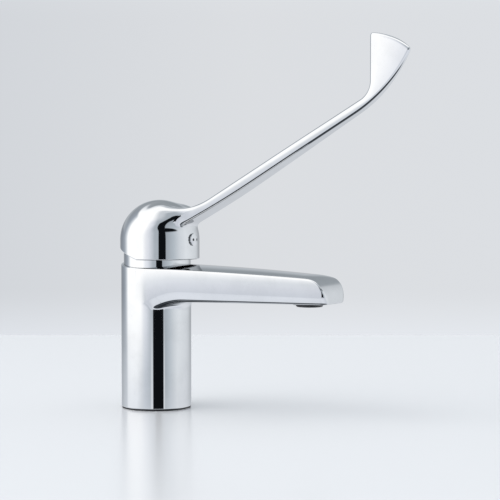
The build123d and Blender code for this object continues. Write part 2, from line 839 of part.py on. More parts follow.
# Room inside the cap, around a hub for the stem and a boss for the set screw
with BuildPart() as cap_room:
    with BuildSketch(cap_section):
        with BuildLine():
            Polyline(
                (0, cap_centre_height + cap_radius - cap_wall),
                (0, cap_rim_height - overrun),
                (cap_radius - cap_wall, cap_rim_height - overrun),
                (cap_radius - cap_wall, cap_centre_height),
            )
            CenterArc((0, cap_centre_height), cap_radius - cap_wall, 0, 90)
        make_face()
    revolve(axis=cap_line)
    with BuildSketch(level(hub_bottom_height, axis_offset)):
        Circle(hub_radius)
    extrude(amount=cap_centre_height + cap_radius - hub_bottom_height, mode=Mode.SUBTRACT)
    with BuildSketch(Plane.YZ.offset(axis_offset)):
        with Locations((0, screw_height)):
            Circle(screw_boss_radius)
    extrude(amount=cap_front, mode=Mode.SUBTRACT)

# Handle: a domed cap over the cartridge, with the arm in one casting
rim_cut_rise = (rim_cut_start + cap_radius) * tan(radians(rim_cut_angle))

with BuildPart() as handle:
    with BuildSketch(cap_section):
        with BuildLine():
            Polyline(
                (0, cap_centre_height + cap_radius),
                (0, cap_rim_height),
                (cap_radius, cap_rim_height),
                (cap_radius, cap_centre_height),
            )
            CenterArc((0, cap_centre_height), cap_radius, 0, 90)
        make_face()
    revolve(axis=cap_line)
    add(arm.part)
    add(cap_room.part, mode=Mode.SUBTRACT)

    # Rim cut away at the back, so that the cap can tilt
    with BuildSketch(Plane.XZ):
        Polygon(
            (rim_cut_start, cap_rim_height),
            (-cap_radius, cap_rim_height + rim_cut_rise),
            (-cap_radius, cap_rim_height - overrun),
            (rim_cut_start, cap_rim_height - overrun),
            align=None,
        )
    extrude(amount=cap_radius + overrun, both=True, mode=Mode.SUBTRACT)

    # Socket for the stem, thread for the set screw and hole for the plug
    with BuildSketch(level(cap_rim_height, axis_offset)):
        Rectangle(stem_width + 2 * fit_gap, stem_width + 2 * fit_gap)
    extrude(amount=stem_top_height + socket_depth_gap - cap_rim_height, mode=Mode.SUBTRACT)
    with BuildSketch(Plane.YZ.offset(axis_offset)):
        with Locations((0, screw_height)):
            Circle(screw_bore_radius)
    extrude(amount=cap_front, mode=Mode.SUBTRACT)
    with BuildSketch(Plane.YZ.offset(cap_front + overrun)):
        with Locations((0, screw_height)):
            Circle(plug_hole_radius)
    extrude(amount=-plug_shank_length - 2 * overrun, mode=Mode.SUBTRACT)
finish(handle, "handle")

with BuildPart() as handle_set_screw:
    with BuildSketch(Plane.YZ.offset(stem_face)):
        with Locations((0, screw_height)):
            Circle(screw_radius)
    extrude(amount=screw_length)
    with BuildSketch(Plane.YZ.offset(stem_face + screw_length)):
        with Locations((0, screw_height)):
            RegularPolygon(screw_socket_radius, hexagon_sides, major_radius=False)
    extrude(amount=-screw_socket_depth, mode=Mode.SUBTRACT)
finish(handle_set_screw, "handle_set_screw")

# Plug over the screw's hole, with a dot on each side of its domed head
dome_sphere_radius = (plug_head_radius**2 + plug_head_dome**2) / (2 * plug_head_dome)
plug_face = cap_front + plug_head_rim
dot_places = [(side * dot_spacing / 2, screw_height) for side in (-1, 1)]

with BuildPart() as index_plug:
    with BuildSketch(Plane.XZ):
        with BuildLine():
            Polyline(
                (plug_face + plug_head_dome, screw_height),
                (cap_front - plug_shank_length, screw_height),
                (cap_front - plug_shank_length, screw_height + plug_hole_radius - fit_gap),
                (cap_front, screw_height + plug_hole_radius - fit_gap),
                (cap_front, screw_height + plug_head_radius),
                (plug_face, screw_height + plug_head_radius),
            )
            RadiusArc(
                (plug_face, screw_height + plug_head_radius),
                (plug_face + plug_head_dome, screw_height),
                dome_sphere_radius,
            )
        make_face()
    revolve(axis=Axis((0, 0, screw_height), (1, 0, 0)))
    with BuildSketch(Plane.YZ.offset(plug_face + plug_head_dome)):
        with Locations(*dot_places):
            Circle(dot_radius + slide_gap)
    extrude(amount=-plug_head_dome - dot_depth, mode=Mode.SUBTRACT)
finish(index_plug, "index_plug")

for dot_name, dot_place in zip(("hot_dot", "cold_dot"), dot_places):
    with BuildPart() as dot:
        with BuildSketch(Plane.YZ.offset(plug_face - dot_depth)):
            with Locations(dot_place):
                Circle(dot_radius)
        extrude(amount=dot_depth + plug_head_dome)
        with Locations((plug_face + plug_head_dome - dome_sphere_radius, 0, screw_height)):
            Sphere(dome_sphere_radius, mode=Mode.INTERSECT)
    finish(dot, dot_name)
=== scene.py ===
"""Chromed elbow lever basin tap on a glazed deck, for Blender 4.5.

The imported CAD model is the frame: it gives every piece its place, its size and its motion. Two
castings are built again as mirror-smooth surfaces from signed fields in millimetres, which are
below zero in the metal and whose blends are the fillets. Half rings of rays walk along each
casting and find its surface. Bores and pockets come from the CAD piece's own mesh. All other
pieces keep their CAD mesh. The materials are procedural, with wear sized in millimetres.
"""

from __future__ import annotations

import functools
import logging
import math
from collections.abc import Callable
from dataclasses import dataclass, field
from enum import Enum

import bpy
import numpy as np
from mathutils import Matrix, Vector

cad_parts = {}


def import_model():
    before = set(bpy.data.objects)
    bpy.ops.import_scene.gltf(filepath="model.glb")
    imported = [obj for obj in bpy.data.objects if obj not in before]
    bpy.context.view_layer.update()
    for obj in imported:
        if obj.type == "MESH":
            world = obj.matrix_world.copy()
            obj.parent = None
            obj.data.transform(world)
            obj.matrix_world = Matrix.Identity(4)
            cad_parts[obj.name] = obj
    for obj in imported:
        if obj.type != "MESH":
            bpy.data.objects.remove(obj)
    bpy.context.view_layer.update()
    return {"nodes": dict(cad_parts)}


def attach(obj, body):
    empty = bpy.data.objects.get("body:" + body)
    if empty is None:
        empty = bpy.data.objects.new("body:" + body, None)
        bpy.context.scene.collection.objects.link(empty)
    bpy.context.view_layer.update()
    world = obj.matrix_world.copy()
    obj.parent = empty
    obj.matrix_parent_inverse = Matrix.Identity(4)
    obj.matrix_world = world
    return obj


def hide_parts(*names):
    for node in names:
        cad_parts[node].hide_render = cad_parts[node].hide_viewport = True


LOG = logging.getLogger("tap")

Array = np.ndarray
Field = Callable[[Array], Array]
Pair = tuple[float, float]
Triple = tuple[float, float, float]
Stops = tuple[tuple[float, str] | tuple[float, str, float], ...]
Socket = bpy.types.NodeSocket
Object = bpy.types.Object
MM = 0.001
PER_METRE = 1000
HALVINGS = 46
TINY = 1e-9
# Distances in mm: points this close are one, points this close to the field's zero lie on the
# skin, and CAD faces that lie deeper than this belong to the bores.
SAME_POINT = 1e-4
ON_SKIN = 0.02
CAD_DEPTH = 0.3
# Bore edges that turn more than this stay sharp, in degrees.
SHARP_TURN = 40.0
# Noise values between which a worn patch fades in, and between which the roughness changes.
PATCH_FADE = {"From Min": 0.42, "From Max": 0.66}
WEAR_FADE = {"From Min": 0.35, "From Max": 0.7}
PATCH_NOISE = {"Detail": 5.0, "Roughness": 0.6}
# Bands of the wave texture per unit of its scale, and how uneven they are.
WAVE_PITCH = 20
WAVE_NOISE = {"Distortion": 0.4, "Detail": 1.0}
DRAWN_SCALE = (1.0, 1.0, 0.06)
DRAWN_DETAIL = 3.0


# Field arithmetic


def ease(share: Array) -> Array:
    """Eases a share from 0 to 1, level at both ends."""
    t = np.clip(share, 0.0, 1.0)
    return t * t * (3.0 - 2.0 * t)


def in_profile(x: Array | float, z: Array | float) -> Array:
    """Sets profile points into the tap's middle plane, with the coordinates on the last axis."""
    x, z = np.broadcast_arrays(x, z)
    return np.stack([x, np.zeros_like(x), z], axis=-1)


def round_max(a: Array, b: Array, radius: Array | float) -> Array:
    """Intersects two fields and rounds the edge between them.

    The rule in words: shift both fields inward by the radius in mm, take the length of their
    positive parts and shift back.
    """
    u = a + radius
    v = b + radius
    outside = np.hypot(np.maximum(u, 0.0), np.maximum(v, 0.0))
    return np.minimum(np.maximum(u, v), 0.0) + outside - radius


def smooth_min(a: Array, b: Array, width: Array | float) -> Array:
    """Joins two fields with a fillet that fades in where they differ by less than the width."""
    h = np.maximum(width - np.abs(a - b), 0.0) / width
    return np.minimum(a, b) - h * h * h * width / 6.0


def smooth_max(a: Array, b: Array, width: float) -> Array:
    """Intersects two fields with an edge that fades out over a width."""
    return -smooth_min(-a, -b, width)


@dataclass(frozen=True)
class Line2:
    """A profile line through a point in mm, at a slope in degrees above the X axis."""

    x: float
    z: float
    slope: float

    def above(self, x: Array, z: Array) -> Array:
        """Distance above the line, positive on its upper left side."""
        a = math.radians(self.slope)
        return (z - self.z) * math.cos(a) - (x - self.x) * math.sin(a)

    def along(self, x: Array, z: Array) -> Array:
        """Distance along the line from its point."""
        a = math.radians(self.slope)
        return (x - self.x) * math.cos(a) + (z - self.z) * math.sin(a)


@dataclass(frozen=True)
class Circle2:
    """A profile circle in mm; past ``least_rise`` of its radius, ``above`` takes it as level."""

    x: float
    z: float
    radius: float
    least_rise: float = 0.2

    def outside(self, x: Array, z: Array) -> Array:
        """Distance outside the circle."""
        return np.hypot(x - self.x, z - self.z) - self.radius

    def above(self, x: Array, z: Array) -> Array:
        """Distance above the circle's upper half."""
        least = (self.least_rise * self.radius) ** 2
        rise = np.sqrt(np.maximum(self.radius**2 - (x - self.x) ** 2, least))
        return (z - self.z - rise) * rise / self.radius


@dataclass(frozen=True)
class BodyField:
    """The mixer body's outer shape, in mm and mm per mm.

    An upright cylinder and a spout that tapers in plan and drops its ceiling towards the root are
    melted together, cut off by a crowned top that falls towards the tip, and by an elliptic nose.
    """

    radius: float = 23.0
    foot: float = 0.8
    foot_chamfer: float = 0.5
    foot_height: float = 9.0
    root_width: float = 45.8
    taper: float = 14.8
    taper_reach: float = 120.0
    taper_power: float = 1.37
    reach: float = 134.0
    corner: float = 4.5
    underside: float = 71.0
    underside_rise: float = 2.2
    root_drop: float = 12.0
    root_reach: float = 34.0
    edge_root: float = 2.4
    edge_tip: float = 1.2
    hem_root: float = 8.0
    hem_tip: float = 4.5
    hem_slope: float = 0.16
    crease: float = 0.35
    lean: float = 0.042
    lean_limit: float = 1.4
    least_wall: float = 6.0
    wall_blend: float = 1.2
    root_blend: float = 5.0
    nose_start: float = 115.0
    nose_reach: float = 19.0
    nose_seat: float = 73.2
    nose_rise: float = 18.7
    nose_fall: float = 0.09
    crest: float = 95.34
    crest_slope: float = 0.0118
    crest_bow: float = 0.00018
    crown_stations: tuple[float, ...] = (-30.0, 60.0, 140.0)
    crown_radii: tuple[float, ...] = (115.0, 82.0, 46.0)
    crown_edge: float = 0.9
    nose_blend: float = 3.5

    def half_width(self, x: Array) -> Array:
        """Half width of the spout's plan at a station."""
        share = np.maximum(x, 0.0) / self.taper_reach
        return (self.root_width - self.taper * share**self.taper_power) / 2

    def ceiling(self, x: Array) -> Array:
        """Height of the spout's underside at a station."""
        near = np.maximum(0.0, 1.0 - np.maximum(x, 0.0) / self.root_reach)
        return self.underside + self.underside_rise * x / self.reach - self.root_drop * near**2

    def ridge(self, x: Array) -> Array:
        """Height of the top's middle line at a station."""
        return self.crest - self.crest_slope * x - self.crest_bow * x * x

    def crown(self, x: Array, y: Array, z: Array) -> Array:
        """Height above the crowned top, whose radius shrinks towards the tip."""
        r = smooth_curve(self.crown_stations, self.crown_radii, x)
        sag = r - np.sqrt(np.maximum(r * r - y * y, 1.0))
        return z - self.ridge(x) + sag

    def nose(self, x: Array, z: Array) -> Array:
        """Distance outside the elliptic nose: upright below its seat and level behind its start."""
        u = np.maximum(x - self.nose_start, 0.0) / self.nose_reach
        behind = np.maximum(self.nose_start - x, 0.0) * self.nose_fall
        v = np.maximum(z - self.nose_seat - behind, 0.0) / self.nose_rise
        size = 0.5 * (self.nose_reach + self.nose_rise)
        return (np.sqrt(u * u + v * v) - 1.0) * size

    def side(self, x: Array, y: Array, z: Array) -> Array:
        """The walls: the column and the spout's band melted together, without the top."""
        column = np.hypot(x, y) - self.radius
        share = np.clip(x / self.reach, 0.0, 1.0)
        ceiling = self.ceiling(x)
        rise = z - ceiling
        hem = self.hem_root + (self.hem_tip - self.hem_root) * share
        wall = np.maximum(self.ridge(x) - ceiling - hem, self.least_wall)
        lean = np.clip(1.0 - (rise - hem) / wall, 0.0, self.lean_limit)
        tuck = np.maximum(hem - rise, 0.0)
        inward = self.lean * wall * lean * lean
        inward = inward + self.hem_slope * (np.sqrt(tuck * tuck + self.crease**2) - self.crease)
        plan = round_max(np.abs(y) - self.half_width(x) + inward, x - self.reach, self.corner)
        edge = self.edge_root + (self.edge_tip - self.edge_root) * share
        band = round_max(plan, -rise, edge)
        open_side = np.maximum(1.0 - (y / self.radius) ** 2, 0.0)
        width = self.wall_blend + self.root_blend * open_side**2
        return smooth_min(column, np.maximum(band, -x), width)

    def __call__(self, p: Array) -> Array:
        """Evaluates the field at points with their coordinates on the last axis."""
        x, y, z = np.moveaxis(p, -1, 0)
        top = smooth_max(self.crown(x, y, z), self.nose(x, z), self.nose_blend)
        solid = round_max(self.side(x, y, z), top, self.crown_edge)
        base = self.foot - z
        chamfer = (self.side(x, y, z) + base + self.foot_chamfer) * math.sqrt(0.5)
        chamfer = np.where(z < self.foot + self.foot_height, chamfer, -np.inf)
        return np.maximum(np.maximum(solid, base), chamfer)


@dataclass(frozen=True)
class HandleField:
    """The handle's outer shape: a domed cap, and a lever that bends up into an upright fin.

    Lengths are in mm, slopes in degrees.
    """

    cap_x: float = 3.0
    cap_z: float = 110.6
    cap_radius: float = 26.06
    rim: float = 98.0
    rim_start: float = 2.0
    rim_slope: float = 19.5
    rim_round: float = 0.6
    root_blend: float = 10.0
    side_blend: float = 8.0
    under_blend: float = 5.0
    high_reach: float = 9.0
    root_start: float = -5.0
    root_reach: float = 20.0
    side_start: float = 3.0
    side_reach: float = 12.0
    upper_edge: float = 2.2
    lower_edge: float = 1.7
    lean: float = 0.08
    dive: float = 0.02
    start: float = -8.0
    crown_edge: float = 1.9
    bend: float = 13.0
    face_x: float = 158.2
    upper: Line2 = Line2(47.0, 138.2, 29.9)
    hump: Circle2 = Circle2(17.09, 190.21, 60.0)
    lower: Line2 = Line2(148.7, 189.7, 30.4)
    heel: Line2 = Line2(60.3, 137.8, 27.0)
    heel_blend: float = 2.0
    least_wall: float = 5.0
    back: Circle2 = Circle2(102.63404, 268.21752, 91.03337)
    crown: Circle2 = Circle2(156.62423, 196.68045, 41.89919)
    stations: tuple[float, ...] = (0.0, 12.0, 20.0, 34.0, 70.0, 104.0, 148.7, 190.0)
    widths: tuple[float, ...] = (17.0, 14.0, 11.9, 10.0, 8.5, 7.1, 4.6, 3.1)

    def rim_height(self, x: Array) -> Array:
        """Height of the cap's rim, which rises towards the back."""
        slope = math.tan(math.radians(self.rim_slope))
        return self.rim + np.maximum(self.rim_start - x, 0.0) * slope

    def half_width(self, x: Array) -> Array:
        """Half width of the lever's plan: a smooth curve through the stations."""
        return smooth_curve(self.stations, self.widths, x)

    def bend_centre(self) -> Pair:
        """Centre of the bend that joins the upper line and the fin's upright face."""
        a = math.radians(self.upper.slope)
        corner = self.upper.z + (self.face_x - self.upper.x) * math.tan(a)
        return self.face_x - self.bend, corner + self.bend * math.tan((math.pi / 2 - a) / 2)

    def top(self, x: Array, z: Array) -> Array:
        """Distance above the lever's upper line, round its bend and in front of the fin's face."""
        hump = self.hump.radius - np.hypot(x - self.hump.x, z - self.hump.z)
        before = np.maximum(self.hump.x - x, 0.0)
        dive = z - (self.hump.z - self.hump.radius) + self.dive * before * before
        hump = np.where(before > 0.0, dive / np.sqrt(1.0 + (2.0 * self.dive * before) ** 2), hump)
        line = np.where(self.upper.along(x, z) < 0.0, hump, self.upper.above(x, z))
        cx, cz = self.bend_centre()
        bend = self.bend - np.hypot(x - cx, z - cz)
        past_line = self.upper.along(x, z) > self.upper.along(cx, cz)
        return np.where(z >= cz, self.face_x - x, np.where(past_line, bend, line))

    def bottom(self, x: Array, z: Array) -> Array:
        """Distance below the lever's lower line and behind the fin's curved back."""
        line = -self.lower.above(x, z)
        arc = self.back.outside(x, z)
        return np.where(self.lower.along(x, z) < 0.0, line, arc)

    def lever(self, p: Array) -> Array:
        """The lever and its fin alone."""
        x, y, z = np.moveaxis(p, -1, 0)
        top = self.top(x, z)
        bottom = smooth_max(self.bottom(x, z), -self.heel.above(x, z), self.heel_blend)
        wall = np.maximum(-top - bottom, self.least_wall)
        lean = np.clip(1.0 + bottom / wall, 0.0, 1.0)
        plan = np.abs(y) - self.half_width(x) + self.lean * wall * lean * lean
        body = round_max(plan, top, self.upper_edge)
        body = round_max(body, self.crown.above(x, z), self.crown_edge)
        return np.maximum(round_max(body, bottom, self.lower_edge), self.start - x)

    def cap(self, p: Array) -> Array:
        """The domed cap alone: a half ball on a short upright skirt."""
        x, y, z = np.moveaxis(p, -1, 0)
        rise = np.maximum(z - self.cap_z, 0.0)
        return np.sqrt((x - self.cap_x) ** 2 + y * y + rise * rise) - self.cap_radius

    def __call__(self, p: Array) -> Array:
        """Evaluates the field at points with their coordinates on the last axis."""
        x, y, z = np.moveaxis(p, -1, 0)
        high = ease(self.lower.above(x, z) / self.high_reach)
        ahead = ease((x - self.root_start) / self.root_reach)
        side = ease((np.abs(y) - self.side_start) / self.side_reach)
        broad = self.root_blend + self.side_blend * side
        width = 1.0 + (self.under_blend + (broad - self.under_blend) * high - 1.0) * ahead
        joined = smooth_min(self.cap(p), self.lever(p), width)
        return round_max(joined, self.rim_height(x) - z, self.rim_round)


def smooth_curve(stations: tuple[float, ...], values: tuple[float, ...], x: Array) -> Array:
    """Interpolates a table with a smooth monotone cubic, constant past both ends.

    The rule in words: each station gets the weighted harmonic mean of its neighbours' slopes, and
    a cubic joins two stations with those slopes.
    """
    xs, ys = np.asarray(stations), np.asarray(values)
    h = np.diff(xs)
    d = np.diff(ys) / h
    w1 = 2 * h[1:] + h[:-1]
    w2 = h[1:] + 2 * h[:-1]
    same = d[1:] * d[:-1] > 0
    after = np.where(same, d[1:], 1.0)
    before = np.where(same, d[:-1], 1.0)
    mean = (w1 + w2) * (after * before) / (w1 * after + w2 * before)
    m = np.concatenate([d[:1], np.where(same, mean, 0.0), d[-1:]])
    q = np.clip(x, xs[0], xs[-1])
    i = np.clip(np.searchsorted(xs, q, side="right") - 1, 0, len(h) - 1)
    t = (q - xs[i]) / h[i]
    return (
        ys[i] * (1 + 2 * t) * (1 - t) ** 2
        + m[i] * h[i] * t * (1 - t) ** 2
        + ys[i + 1] * t * t * (3 - 2 * t)
        + m[i + 1] * h[i] * t * t * (t - 1)
    )


def gradient(shape: Field, p: Array, step: float = 0.02) -> Array:
    """Returns a field's unit outward direction at each point, by central differences."""
    out = np.empty_like(p)
    for axis in range(3):
        shift = np.zeros(3)
        shift[axis] = step
        out[..., axis] = shape(p + shift) - shape(p - shift)
    return out / np.maximum(np.linalg.norm(out, axis=-1, keepdims=True), TINY)


# Rings


def halve(inside: Callable[[Array], Array], low: Array, high: Array) -> Array:
    """Halves the way between marks in the metal and marks outside until they meet."""
    for _ in range(HALVINGS):
        middle = 0.5 * (low + high)
        held = inside(middle)
        low = np.where(held, middle, low)
        high = np.where(held, high, middle)
    return low


def level_ring(radius: float, around: Array, middle: float = 0.0) -> Array:
    """Half ring of points at height 0, from its front over the near side to its back."""
    x = middle + radius * np.cos(around)
    ring = np.stack([x, -radius * np.sin(around), np.zeros_like(around)], axis=1)
    ring[[0, -1], 1] = 0.0
    return ring


@dataclass
class RingSkin:
    """Turns a field into half rings of points on its surface.

    Each half ring sends out ``rays`` as far as ``reach`` in mm and keeps ``per_half`` points. The
    share ``turn_share`` of them goes to where it turns, averaged over ``soften`` rays. Steps
    shorter than ``least_step`` don't count as a turn.

    Args:
        shape: The field.
    """

    shape: Field
    per_half: int = 104
    rays: int = 900
    reach: float = 70.0
    turn_share: float = 0.55
    soften: int = 9
    least_step: float = 1e-6

    def angles(self) -> Array:
        """Even ray angles on a half ring, from its inner side to its outer side."""
        return np.linspace(0.0, math.pi, self.rays)

    def flat(self, centres: Array, inner: Array, lift: Array | None = None) -> Array:
        """Half rings from rays in the plane of the inner direction and the near side.

        Args:
            centres: Each ring's centre in mm, shape (rings, 3), or one for all.
            inner: Unit direction to each ring's inner side, same shape, or one for all.
            lift: Angle of each ring's rays out of its plane, in radians, or None.
        """
        phi = self.angles()[:, None]
        near = np.array([0.0, -1.0, 0.0])
        inner = np.atleast_2d(inner)
        ways = np.cos(phi) * inner[:, None, :] + np.sin(phi) * near
        if lift is not None:
            up = lift[:, None, None]
            ways = np.cos(up) * ways + np.sin(up) * np.cross(near, inner)[:, None, :]
        return self.grid(*np.broadcast_arrays(np.atleast_2d(centres)[:, None, :], ways))

    def bend(self, hub: Pair, reach: Pair, full: float, count: int) -> Array:
        """Half rings round a bend, with their inner side towards its hub.

        Args:
            hub: The bend's centre in the profile.
            reach: Distance from the hub to the first and the last ring's centre.
            full: How far the bend turns, in radians.
            count: Number of rings.
        """
        turn = np.linspace(0.0, full, count + 1)[1:]
        out = in_profile(-np.cos(turn), np.sin(turn))
        far = reach[0] + (reach[1] - reach[0]) * (turn / full)
        return self.flat(in_profile(*hub) + far[:, None] * out, -out)

    def fan(self, centre: Array, inner: Array, count: int) -> Array:
        """Half rings that swing about a centre out of their plane and close in a point."""
        lift = np.linspace(0.0, math.pi / 2, count + 1)[1:]
        rings = self.flat(centre, inner, lift)
        rings[-1] = rings[-1].mean(axis=0)
        return rings

    def grid(self, origin: Array, ways: Array) -> Array:
        """Finds half rings of points on the surface, shape (rings, per_half, 3).

        Args:
            origin: Where each ray starts, shape (rings, rays, 3), in mm.
            ways: Unit direction of each ray, same shape.
        """
        size = origin.shape[:2]
        far = halve(
            lambda mark: self.shape(origin + mark[..., None] * ways) < 0.0,
            np.zeros(size),
            np.full(size, self.reach),
        )
        kept = self.resample(origin + far[..., None] * ways)
        kept[:, [0, -1], 1] = 0.0
        return kept

    def resample(self, dense: Array) -> Array:
        """Keeps ``per_half`` points of each ring, more of them where it turns."""
        step = np.diff(dense, axis=1)
        length = np.linalg.norm(step, axis=2)
        unit = step / np.maximum(length[..., None], TINY)
        cosine = np.clip(np.sum(unit[:, 1:] * unit[:, :-1], axis=2), -1.0, 1.0)
        apart = np.minimum(length[:, 1:], length[:, :-1]) > self.least_step
        turn = np.where(apart, np.arccos(cosine), 0.0)
        bend = np.zeros_like(length)
        bend[:, 1:] += 0.5 * turn
        bend[:, :-1] += 0.5 * turn
        kernel = np.hanning(self.soften)
        kernel /= kernel.sum()
        bend = np.array([np.convolve(row, kernel, mode="same") for row in bend])
        total = np.maximum(length.sum(1, keepdims=True), TINY)
        swing = np.maximum(bend.sum(1, keepdims=True), TINY)
        weight = (1 - self.turn_share) * length / total + self.turn_share * bend / swing
        mark = np.concatenate([np.zeros((len(dense), 1)), np.cumsum(weight, axis=1)], axis=1)
        mark /= mark[:, -1:]
        want = np.linspace(0.0, 1.0, self.per_half)
        kept = [[np.interp(want, at, line) for line in ring.T] for at, ring in zip(mark, dense)]
        return np.array(kept).transpose(0, 2, 1)


def close_rings(half: Array) -> tuple[Array, Array]:
    """Mirrors half rings into closed ones and returns all points and the quads between rings."""
    far = half[:, -2:0:-1].copy()
    far[..., 1] *= -1.0
    rings = np.concatenate([half, far], axis=1)
    count = rings.shape[1]
    ring = count * np.arange(len(rings) - 1)[:, None]
    here = np.arange(count)[None, :]
    after = (here + 1) % count
    quads = np.stack([ring + count + here, ring + count + after, ring + after, ring + here], axis=-1)
    return rings.reshape(-1, 3), quads.reshape(-1, 4)


def put_mesh(name: str, vertices: Array, quads: Array, triangles: Array) -> Object:
    """Makes a linked mesh object from whole arrays: points in metres and corner numbers."""
    corner = np.concatenate([quads.ravel(), triangles.ravel()]).astype(np.int32)
    total = np.repeat([4, 3], [len(quads), len(triangles)]).astype(np.int32)
    start = np.concatenate([[0], np.cumsum(total)[:-1]]).astype(np.int32)
    mesh = bpy.data.meshes.new(name)
    mesh.vertices.add(len(vertices))
    mesh.vertices.foreach_set("co", vertices.astype(np.float32).ravel())
    mesh.loops.add(len(corner))
    mesh.loops.foreach_set("vertex_index", corner)
    mesh.polygons.add(len(total))
    mesh.polygons.foreach_set("loop_start", start)
    mesh.polygons.foreach_set("use_smooth", np.ones(len(total), dtype=bool))
    mesh.update(calc_edges=True)
    mesh.validate()
    obj = bpy.data.objects.new(name, mesh)
    bpy.context.scene.collection.objects.link(obj)
    return obj


def read_rows(
    rows: bpy.types.bpy_prop_collection, name: str, width: int = 3, kind: type = np.float32
) -> Array:
    """Reads a property of every row as one array of shape (n, width)."""
    flat = np.empty(len(rows) * width, dtype=kind)
    rows.foreach_get(name, flat)
    return flat.reshape(-1, width)


def same_points(points: Array) -> tuple[Array, Array]:
    """Returns the rows of points to keep and, for each row, its kept point's number."""
    key = np.round(points / SAME_POINT).astype(np.int64)
    _, first, back = np.unique(key, axis=0, return_index=True, return_inverse=True)
    return first, back.reshape(-1)


def clean_faces(vertices: Array, quads: Array) -> tuple[Array, Array, Array]:
    """Merges coinciding points and drops the faces that collapse.

    Returns:
        The kept points, the quads and the triangles left from quads with one collapsed side.
    """
    first, back = same_points(vertices)
    q = back[quads]
    same = q == np.roll(q, -1, axis=1)
    quad = q[same.sum(1) == 0]
    quad = quad[(quad[:, 0] != quad[:, 2]) & (quad[:, 1] != quad[:, 3])]
    half = same.sum(1) == 1
    tri = np.empty((int(half.sum()), 3), dtype=q.dtype)
    for side in range(4):
        pick = half & same[:, side]
        rows = q[pick]
        tri[np.flatnonzero(pick[half])] = np.delete(rows, side, axis=1)
    return vertices[first], quad, tri


def inner_shell(node: Object, shape: Field) -> tuple[Array, Array]:
    """Takes the bores and pockets from a CAD piece: its faces that lie well below the skin."""
    mesh = node.data
    mesh.calc_loop_triangles()
    points = read_rows(mesh.vertices, "co").astype(float) / MM
    first, back = same_points(points)
    points = points[first]
    corner = back[read_rows(mesh.loop_triangles, "vertices", kind=np.int32)]
    return points, corner[shape(points[corner].mean(axis=1)) < -CAD_DEPTH]


def join_skin(name: str, shape: Field, skin: tuple, inner: tuple) -> Object:
    """Joins skin and inner shell in one mesh, with the field's own normals on the skin.

    Args:
        name: The object's name.
        shape: The casting's field.
        skin: Points in mm, quads and triangles of the outer skin.
        inner: Points in mm and triangles of the bores and pockets.

    Returns:
        The object.
    """
    points, quads, tris = skin
    more, inner_tris = inner
    every = np.concatenate([points, more]) * MM
    obj = put_mesh(name, every, quads, np.concatenate([tris, inner_tris + len(points)]))
    mesh = obj.data
    mesh.set_sharp_from_angle(angle=math.radians(SHARP_TURN))
    place = read_rows(mesh.vertices, "co").astype(float) / MM
    on_skin = np.abs(shape(place)) < ON_SKIN
    vertex = read_rows(mesh.loops, "vertex_index", 1, np.int32)[:, 0]
    corner = read_rows(mesh.corner_normals, "vector")
    sides = read_rows(mesh.polygons, "loop_total", 1, np.int32)[:, 0]
    outer = np.repeat(np.arange(len(sides)) < len(quads) + len(tris), sides)
    use = outer & on_skin[vertex]
    corner[use] = gradient(shape, place)[vertex[use]]
    mesh.normals_split_custom_set(corner.tolist())
    return obj


@dataclass(frozen=True)
class Hole:
    """A round upright hole on the tap's middle plane, cut between two heights, in mm.

    ``passes`` says how often its edge is brought back onto the field, wherever the field's slope
    is more than ``least_slope``.
    """

    x: float
    radius: float
    low: float
    high: float
    passes: int = 4
    least_slope: float = 0.3

    def open(self, vertices: Array, quads: Array, shape: Field) -> tuple[Array, Array]:
        """Cuts the hole and brings its edge onto the circle and the field.

        Returns:
            The points and the quads that stay.
        """
        axis = np.array([self.x, 0.0])
        middle = vertices[quads].mean(axis=1)
        away = np.linalg.norm(middle[:, :2] - axis, axis=1)
        cut = (away < self.radius) & (middle[:, 2] > self.low) & (middle[:, 2] < self.high)
        edge = np.intersect1d(quads[cut], quads[~cut])
        moved = vertices.copy()
        offset = moved[edge, :2] - axis
        offset *= self.radius / np.maximum(np.linalg.norm(offset, axis=1, keepdims=True), TINY)
        moved[edge, :2] = axis + offset
        for _ in range(self.passes):
            slope = gradient(shape, moved[edge])[:, 2]
            steep = np.where(np.abs(slope) > self.least_slope, slope, np.inf)
            moved[edge, 2] -= shape(moved[edge]) / steep
        return moved, quads[~cut]


# Finishes


def srgb(text: str, alpha: float = 1.0) -> tuple[float, ...]:
    """Turns an sRGB hex colour such as ``#c0c4c8`` into linear RGBA."""
    values = [int(text[i : i + 2], 16) / 255 for i in (1, 3, 5)]
    linear = [v / 12.92 if v <= 0.04045 else ((v + 0.055) / 1.055) ** 2.4 for v in values]
    return (*linear, alpha)


def add_node(
    tree: bpy.types.NodeTree, kind: str, inputs: dict | None = None, **settings
) -> bpy.types.Node:
    """Adds a node.

    Args:
        tree: The node tree.
        kind: The node's type name.
        inputs: Socket name or number to a value or to the socket that feeds it.
        **settings: The node's own properties.

    Returns:
        The node.
    """
    node = tree.nodes.new(kind)
    for key, value in settings.items():
        setattr(node, key, value)
    for key, value in (inputs or {}).items():
        socket = node.inputs[key]
        if isinstance(value, Socket):
            tree.links.new(value, socket)
        else:
            socket.default_value = value
    return node


class Making(Enum):
    """How a surface was made, which decides its marks."""

    PLATED = "plated"
    TURNED = "turned"
    ROLLED = "rolled"
    MOULDED = "moulded"
    PRESSED = "pressed"


